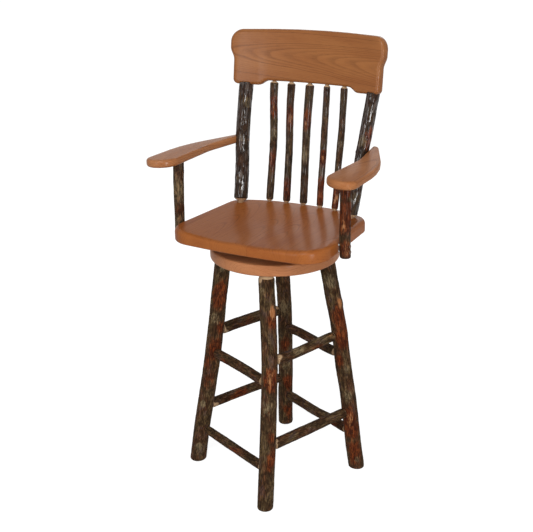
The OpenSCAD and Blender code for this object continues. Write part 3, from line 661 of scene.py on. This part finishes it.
def cut_end(radius):
    """Rings of an end that is sawn square, with its edge softened."""
    return [(0.0, radius * 0.80, 0.9), (0.0, radius * 0.88, 0.4), (0.0006, radius * 0.93, 0.0),
            (0.0022, radius * 0.975, 0.0), (0.0050, radius, 0.0)]


def hidden_end(radius):
    """Rings of an end that stops inside another piece."""
    return [(-0.003, radius, 0.0), (0.0, radius, 0.0)]


def smooth(values, share):
    """A smooth curve through values at even distances, read at a share of its length."""
    place = max(0.0, min(1.0, share)) * (len(values) - 1)
    number = min(int(place), len(values) - 2)
    before, start, stop, after = (values[max(0, min(len(values) - 1, number + i))] for i in (-1, 0, 1, 2))
    t = place - number
    curved = 2 * before - 5 * start + 4 * stop - after
    twisted = 3 * (start - stop) + after - before
    return start + t * (stop - before + t * (curved + t * twisted)) / 2


def log_axes(first, last):
    """A log's direction, the one that faces the viewer and the one to their right, or up for a rung."""
    way = (last - first).normalized()
    front = (TO_VIEWER - way * TO_VIEWER.dot(way)).normalized()
    across = way.cross(front)
    if max(across, key=abs) < 0:
        across.negate()
    return way, front, across


def off_line(look, first, last, share):
    """How far a log's middle lies off its straight line at a share of its length."""
    front, across = log_axes(first, last)[1:]
    return across * smooth(look["stray"], share) + front * look.get("forward", 0.0) * (1 - share) ** 2


def radius_at(look, share):
    """A log's radius at a share of its length."""
    low_radius, high_radius = look["radii"]
    return low_radius + (high_radius - low_radius) * share


# Each kind of mark is so many times longer than it is wide
MARK_LENGTH = {"knot": 1.0, "scar": 2.4, "bare": 1.2, "rust": 1.8, "moss": 1.3}
KNOT_HEIGHT = 0.0042
BARE_DEPTH = 0.0014
CROOK = 0.0028
FOOT_RUN = 0.09
RING_STEP = 0.0026
SIDE_STEP = 0.0021


def log_rings(look, length, first_end, last_end):
    """A log's rings, (distance, radius, bareness), from its first end's to its last end's."""
    tail = [(length - distance, size, bare) for distance, size, bare in reversed(last_end)]
    places = spread(first_end[-1][0], tail[0][0], RING_STEP)[1:-1]
    stem = [(distance, radius_at(look, distance / length), 0.0) for distance in places]
    return [*first_end, *stem, *tail]


def relief(u, w, distance, seed, swell, ridge):
    """How far bark stands out: slow swellings, ridges along the log and a fine roughness."""
    slow = noise.noise(Vector((u * 35 + seed, w * 35, distance * 13)))
    rough = noise.noise(Vector((u * 170, w * 170 + seed, distance * 30)))
    fine = noise.noise(Vector((u * 400, w * 400 - seed, distance * 90)))
    return swell * slow * 1.6 + ridge * (1 - 2.4 * abs(rough)) + ridge * 0.5 * fine


def marked(marks, radius, turn, distance):
    """How strong each kind of mark is at a spot on a log, and how far the marks make it stand out."""
    strengths = dict.fromkeys(MARK_LENGTH, 0.0)
    proud = 0.0
    for kind, at, degrees, size, strength in marks:
        gap = (turn - math.radians(degrees) + math.pi) % (2 * math.pi) - math.pi
        off_along = (distance - at) / (size * MARK_LENGTH[kind])
        off_round = gap * radius / size
        near = math.exp(-(off_along ** 2 + off_round ** 2))
        if kind == "knot":
            proud += KNOT_HEIGHT * strength * near
            near *= 1.6 * (1 - near)
        elif kind == "bare":
            proud -= BARE_DEPTH * near
        strengths[kind] = max(strengths[kind], strength * near)
    return strengths, proud


def log(name, body, first, last, look, first_end, last_end, seed, ridge=0.0006, swell=0.03, shine=0.0,
        material=legs_bark, foot=False):
    """A bark-on stick.

    Its look holds its radii, its stray to the viewer's right (up for a rung) at even distances, how far
    its first end stands forward, if it does, and its marks. A mark is a kind, a distance, the degrees
    round from the viewer, a size and a strength.
    """
    length = (last - first).length
    way, front = log_axes(first, last)[:2]
    side = way.cross(front)
    radius = radius_at(look, 0.5)
    rings = log_rings(look, length, first_end, last_end)
    around = max(30, round(2 * math.pi * radius / SIDE_STEP))
    bm = bmesh.new()
    grain = bm.verts.layers.float_vector.new("grain")
    layers = {kind: bm.verts.layers.float.new(kind) for kind in (*MARK_LENGTH, "shine")}
    bmesh.ops.create_grid(bm, x_segments=around, y_segments=len(rings) - 1, size=0.5)
    for vert in bm.verts:
        turn = 2 * math.pi * (vert.co.x + 0.5)
        distance, size, bare = rings[round((vert.co.y + 0.5) * (len(rings) - 1))]
        share = max(0.0, min(1.0, distance / length))
        u = math.cos(turn) * radius
        w = math.sin(turn) * radius
        strengths, marks_proud = marked(look["marks"], radius, turn, distance)
        strengths["bare"] = max(strengths["bare"], bare)
        strengths["shine"] = shine
        for kind, layer in layers.items():
            vert[layer] = strengths[kind]
        vert[grain] = Vector((u + seed, w, distance + seed * 3.1))
        proud = relief(u, w, distance, seed, radius * swell, ridge) + marks_proud
        fade = min(1.0, 12 * share * (1 - share))
        crook = CROOK * fade * noise.noise(Vector((0.5, 1.5, distance * 7 + seed * 7.3)))
        centre = first + way * distance + off_line(look, first, last, share) + front * crook
        vert.co = centre + (front * u + side * w) * ((size + proud * (1 - bare)) / radius)
        if foot:
            flat = max(0.0, 1 - distance / FOOT_RUN)
            vert.co -= way * ((vert.co.z - centre.z) / way.z * flat)
    bmesh.ops.remove_doubles(bm, verts=bm.verts[:], dist=1e-6)
    bmesh.ops.holes_fill(bm, edges=bm.edges[:], sides=0)
    add_piece(f"log_{name}", bm, body, material, name)


def leg_point(corner, z):
    """The middle of a straight leg at height z. Corner 0 is the front leg, and they run anticlockwise."""
    turn = BASE_TURN + corner * math.pi / 2
    out = FOOT_RADIUS + (HEAD_RADIUS - FOOT_RADIUS) * z / disc_low.z
    return Vector((out * math.sin(turn), -out * math.cos(turn), z))


for corner, (leg, look) in enumerate(LEGS.items()):
    low_radius, high_radius = look["radii"]
    log(leg, "base", leg_point(corner, 0), leg_point(corner, disc_low.z), look, cut_end(low_radius),
        tenon_end(LEG_REVEAL, LEG_TENON, high_radius), seed=1.7 + 3.1 * corner, foot=True)

# Rungs
# Thin bark-on sticks, two on each side, whittled down to bare round tenons that go into the legs.
# Those of neighbouring sides stand at different heights, so that their tenons clear each other.
RUNG_HEIGHTS = {"upper": (0.424, 0.364), "lower": (0.179, 0.110)}
RUNG_SIDES = ("front_right", "back_right", "back_left", "front_left")
RUNG_TENON = 0.008
RUNG_BLUNT = 5.0
LEG_RADIUS = 0.0225
RUNGS = {
    "front_right_upper": {
        "reveals": (0.007, 0.005), "radii": (0.0140, 0.0135),
        "stray": (-0.008, -0.0085, -0.0055, -0.0005, 0.005),
        "marks": [
            ("moss", 0.08, -60, 0.02, 0.9), ("moss", 0.16, -60, 0.02, 0.6),
            ("rust", 0.14, 30, 0.015, 0.6), ("bare", 0.005, -60, 0.012, 1.2),
            ("scar", 0.215, -40, 0.018, 0.5)]},
    "front_right_lower": {
        "reveals": (0.005, 0.004), "radii": (0.0150, 0.0145),
        "stray": (-0.004, -0.0015, 0.001, 0.004, 0.006),
        "marks": [("moss", 0.13, -50, 0.03, 0.4), ("bare", 0.003, -70, 0.008, 1.2)]},
    "back_right_upper": {
        "reveals": (0.006, 0.003), "radii": (0.0135, 0.0135),
        "stray": (0.0015, -0.0005, 0.003, 0.005, 0.003),
        "marks": [("moss", 0.1, -60, 0.02, 0.5)]},
    "back_right_lower": {
        "reveals": (0.005, 0.004), "radii": (0.0140, 0.0140),
        "stray": (0.005, 0.0055, 0.001, 0.0015, 0.0025),
        "marks": [("rust", 0.05, 0, 0.015, 0.8)]},
    "back_left_upper": {
        "reveals": (0.005, 0.008), "radii": (0.0160, 0.0165),
        "stray": (0, 0.0015, 0.001, -0.0005, -0.0035),
        "marks": [
            ("knot", 0.12, 60, 0.008, 0.4), ("rust", 0.14, 0, 0.02, 0.5),
            ("bare", 0.206, -30, 0.009, 1.3), ("bare", 0.01, 60, 0.007, 1.2)]},
    "back_left_lower": {
        "reveals": (0.004, 0.006), "radii": (0.0140, 0.0145),
        "stray": (-0.0005, 0, -0.001, -0.002, -0.004),
        "marks": [
            ("rust", 0.17, -30, 0.025, 1), ("scar", 0.2, -30, 0.01, 0.6),
            ("bare", 0.256, -20, 0.01, 1.3)]},
    "front_left_upper": {
        "reveals": (0.003, 0.0015), "radii": (0.0140, 0.0140),
        "stray": (-0.003, -0.0015, -0.002, -0.0035, -0.004),
        "marks": [("rust", 0.06, 10, 0.02, 0.5)]},
    "front_left_lower": {
        "reveals": (0.004, 0.004), "radii": (0.0125, 0.0130),
        "stray": (-0.004, -0.0035, -0.0005, 0, 0.001),
        "marks": [("rust", 0.15, 0, 0.02, 0.5)]},
}


def leg_bend(corner, z):
    """How far a leg's own bend takes it off its straight line at height z."""
    look = list(LEGS.values())[corner]
    return off_line(look, leg_point(corner, 0), leg_point(corner, disc_low.z), z / disc_low.z)


for corner, rung_side in enumerate(RUNG_SIDES):
    for level, heights in RUNG_HEIGHTS.items():
        name = f"{rung_side}_{level}"
        look = RUNGS[name]
        z = heights[corner % 2]
        after = (corner + 1) % 4
        start = leg_point(corner, z)
        stop = leg_point(after, z)
        way = (stop - start).normalized()
        start += way * (LEG_RADIUS + way.dot(leg_bend(corner, z)))
        stop -= way * (LEG_RADIUS - way.dot(leg_bend(after, z)))
        ends = [tenon_end(reveal, RUNG_TENON, radius, RUNG_BLUNT)
                for reveal, radius in zip(look["reveals"], look["radii"])]
        log(f"rung_{name}", "base", start, stop, look, *ends,
            seed=20.3 + 3.7 * corner + 1.9 * (level == "lower"), ridge=0.0004, swell=0.04)

# Back posts and spindles
# Bark-on sticks between the seat and the crest rail that lean back. The posts and the spindles have
# bare tenons at the seat, and the spindles at the crest rail too. They have more lacquer than the legs.
POST_FOOT = Vector((0.177, 0.123, seat_high.z))
POST_TENON = 0.0100
POST_REVEAL = 0.011
POSTS = {
    "left": {
        "radii": (0.0200, 0.0205), "stray": (-0.004, -0.0035, -0.003, -0.005, -0.004, -0.001, 0.002),
        "marks": [
            ("moss", 0.29, 28, 0.013, 1.5), ("moss", 0.19, -10, 0.022, 0.6),
            ("moss", 0.07, -30, 0.012, 0.7)]},
    "right": {
        "radii": (0.0170, 0.0175), "stray": (-0.0025, -0.002, -0.0015, -0.0025, -0.0005, 0, 0.001),
        "marks": [
            ("moss", 0.215, -25, 0.014, 1.2), ("rust", 0.225, 48, 0.017, 1.5),
            ("knot", 0.05, -30, 0.012, 0.3), ("moss", 0.06, 0, 0.014, 0.8)]},
}
SPINDLE_PITCH = 0.0537
SPINDLE_FAN = 1.02
SPINDLE_Y = 0.172
SPINDLE_BOW = 0.65
SPINDLE_TENON = 0.0058
SPINDLE_REVEALS = (0.008, 0.006)
SPINDLES = {
    "left_outer": {
        "radii": (0.0105, 0.0115), "stray": (0.0005, 0.0015, 0.003, 0.0035, 0.0015, -0.0015, -0.0025),
        "marks": [
            ("rust", 0.275, 0, 0.016, 1.4), ("moss", 0.2, 0, 0.018, 0.9), ("rust", 0.12, 10, 0.018, 0.7),
            ("scar", 0.275, 0, 0.006, 0.5)]},
    "left_inner": {
        "radii": (0.0105, 0.0110), "stray": (0, 0, 0, -0.0005, -0.0025, -0.004, -0.0035),
        "marks": [
            ("scar", 0.25, 10, 0.007, 0.7), ("rust", 0.25, 10, 0.018, 1.2),
            ("rust", 0.05, 0, 0.018, 1.2)]},
    "middle": {
        "radii": (0.0110, 0.0120), "stray": (0.0005, 0, -0.001, -0.002, -0.0025, -0.002, -0.0005),
        "marks": [
            ("rust", 0.245, -10, 0.016, 1.2), ("scar", 0.235, -15, 0.007, 0.5),
            ("moss", 0.15, -10, 0.022, 0.9)]},
    "right_inner": {
        "radii": (0.0095, 0.0095), "stray": (0.0015, 0.0005, 0.0005, 0.0005, 0, 0, -0.001),
        "marks": [
            ("moss", 0.26, 0, 0.018, 0.6), ("scar", 0.145, 0, 0.006, 0.65),
            ("rust", 0.145, 0, 0.014, 1.2), ("rust", 0.05, 0, 0.022, 1.3)]},
    "right_outer": {
        "radii": (0.0095, 0.0095), "stray": (-0.002, -0.0005, -0.001, 0, 0.001, 0, -0.001),
        "marks": [
            ("moss", 0.2, 0, 0.018, 0.6), ("rust", 0.04, 0, 0.022, 1.6), ("scar", 0.04, 0, 0.008, 0.7)]},
}
back_bark = bark("back_bark", 0.06)


def post_ends(side):
    """Where a back post's straight line meets the seat and the crest rail."""
    foot = Vector((SIDES[side] * POST_FOOT.x, POST_FOOT.y, POST_FOOT.z))
    return foot, crest_point(SIDES[side] * POST_TOP_X, 0)


for number, (side, look) in enumerate(POSTS.items()):
    foot, top = post_ends(side)
    low_radius, high_radius = look["radii"]
    log(f"back_post_{side}", "seat", foot, top, look,
        tenon_end(POST_REVEAL, POST_TENON, low_radius), hidden_end(high_radius),
        seed=47.0 + 12 * number, ridge=0.0007, swell=0.04, shine=0.9, material=back_bark)

for number, (name, look) in enumerate(SPINDLES.items()):
    x = (number - 2) * SPINDLE_PITCH
    foot = Vector((x, SPINDLE_Y - x * x / (2 * SPINDLE_BOW), seat_high.z))
    ends = [tenon_end(reveal, SPINDLE_TENON, radius)
            for reveal, radius in zip(SPINDLE_REVEALS, look["radii"])]
    log(f"spindle_{name}", "seat", foot, crest_point(x * SPINDLE_FAN, CREST_STEP), look, *ends,
        seed=61.0 + 5.7 * number, ridge=0.0004, swell=0.05, shine=0.35, material=back_bark)

# Arm posts
# Bark-on posts that stand against the seat's side edges and carry the arms. Two screws go through
# each into the seat, and its lower end is sawn off just below the seat. Much of their bark is worn.
ARM_POST_DROP = 0.006
ARM_POST_SHORT = 0.001
ARM_POSTS = {
    "left": {
        "place": (-0.2466, -0.098), "radii": (0.0135, 0.0150),
        "stray": (-0.0025, -0.0015, -0.0015, -0.0005, 0.0015),
        "marks": [
            ("rust", 0.08, 0, 0.03, 0.35), ("rust", 0.16, 0, 0.03, 0.5),
            ("scar", 0.12, -10, 0.014, 0.45), ("rust", 0.02, 20, 0.02, 0.5),
            ("scar", 0.04, 0, 0.012, 0.45), ("moss", 0.13, 10, 0.04, 0.9),
            ("moss", 0.03, 0, 0.03, 0.8)]},
    "right": {
        "place": (0.2453, -0.074), "radii": (0.0145, 0.0145),
        "stray": (0.0045, 0.0025, 0.0025, 0.0025, 0.002),
        "marks": [
            ("rust", 0.115, -10, 0.026, 1.4), ("scar", 0.09, -20, 0.01, 0.55),
            ("scar", 0.03, 10, 0.012, 0.5), ("rust", 0.19, -10, 0.02, 1.2),
            ("rust", 0.03, 10, 0.016, 0.9), ("moss", 0.16, 40, 0.01, 0.7)]},
}


def arm_post_ends(side):
    """The middle of an arm post's lower end and of its top under the arm."""
    x, y = ARM_POSTS[side]["place"]
    top = ARM_TOP - ARM_THICK - ARM_POST_SHORT
    return Vector((x, y, seat_low.z - ARM_POST_DROP)), Vector((x, y, top))


for number, (side, look) in enumerate(ARM_POSTS.items()):
    low, high = arm_post_ends(side)
    low_radius, high_radius = look["radii"]
    log(f"arm_post_{side}", "seat", low, high, look, cut_end(low_radius), hidden_end(high_radius),
        seed=78.1 + 9.8 * number, ridge=0.0004, shine=0.15)

# Plugs
# Round dark plugs of end-grain wood that close the screw holes of the arms: two in each arm post's
# outer side and one in each back post's inner side, a hair proud of the bark.
PLUG_RADIUS = 0.005
PLUG_LENGTH = 0.005
PLUG_PROUD = 0.0009
PLUG_EDGE_IN = 0.0002
PLUG_EDGE_OUT = 0.0008
PLUG_Z = 0.9415
ARM_SCREW_PITCH = 0.016


def fine_finish(name, dark, light, size, roughness, depth, metallic=0.0):
    """A plain finish with a faint cloudy pattern of a size, for small parts."""
    nodes = Nodes(bpy.data.materials.new(name))
    place = nodes.add("ShaderNodeTexCoord", out="Object")
    bloom = cloud(nodes, stretched(nodes, place, 1 / size, 1 / size, 1 / size), detail=3.0)
    grit = cloud(nodes, stretched(nodes, place, 4 / size, 1 / size, 4 / size))
    colour = mix(nodes, bloom.step(0.35, 0.65), dark, light)
    return lacquered(nodes, colour, roughness + grit * 0.15, grit, depth, metallic=metallic, specular=0.5)


def add_plug(bm, ends, look, z, outwards):
    """A plug in a log's bark at height z, on the side that outwards points to."""
    first, last = ends
    share = (z - first.z) / (last.z - first.z)
    middle = first.lerp(last, share) + off_line(look, first, last, share)
    plug = bmesh.new()
    bmesh.ops.create_circle(plug, cap_ends=True, radius=PLUG_RADIUS, segments=32)
    thicken(plug, 0, PLUG_LENGTH, PLUG_EDGE_IN, PLUG_EDGE_OUT)
    turn = outwards.to_track_quat("Z", "Y").to_matrix().to_4x4()
    inner_end = middle + outwards * (radius_at(look, share) + PLUG_PROUD - PLUG_LENGTH)
    plug.transform(Matrix.Translation(inner_end) @ turn)
    data = bpy.data.meshes.new("plug")
    plug.to_mesh(data)
    bm.from_mesh(data)
    plug.free()


plugs = bmesh.new()
seat_middle_z = (seat_low.z + seat_high.z) / 2
for side, way in SIDES.items():
    outwards = Vector((way, 0, 0))
    add_plug(plugs, post_ends(side), POSTS[side], PLUG_Z, -outwards)
    for step in (-0.5, 0.5):
        z = seat_middle_z + step * ARM_SCREW_PITCH
        add_plug(plugs, arm_post_ends(side), ARM_POSTS[side], z, outwards)
plug_wood = fine_finish("plug_wood", (0.060, 0.032, 0.018), (0.120, 0.066, 0.036), 0.002, 0.50, 0.00010)
add_piece("wood_plugs", plugs, "seat", plug_wood, "screw_plugs")

# Swivel and screws
# Two zinc-plated pressed plates with a caged ring of balls between them, held by a rivet, and the
# pan-head screws of the plates and arms.
ZINC_NODES = ("swivel_lower_plate", "swivel_upper_plate", "swivel_rivet", "bearing_balls",
              "lower_plate_screws", "upper_plate_screws", "arm_post_screws", "arm_end_screws")
zinc = fine_finish("zinc_plate", (0.46, 0.46, 0.45), (0.60, 0.60, 0.58), 0.004, 0.28, 0.00004,
                   metallic=1.0)
cage = fine_finish("cage_nylon", (0.70, 0.66, 0.54), (0.80, 0.76, 0.66), 0.010, 0.40, 0.00002)
for node, finish in [(name, zinc) for name in ZINC_NODES] + [("ball_cage", cage)]:
    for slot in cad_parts[node].material_slots:
        slot.material = finish

low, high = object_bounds()
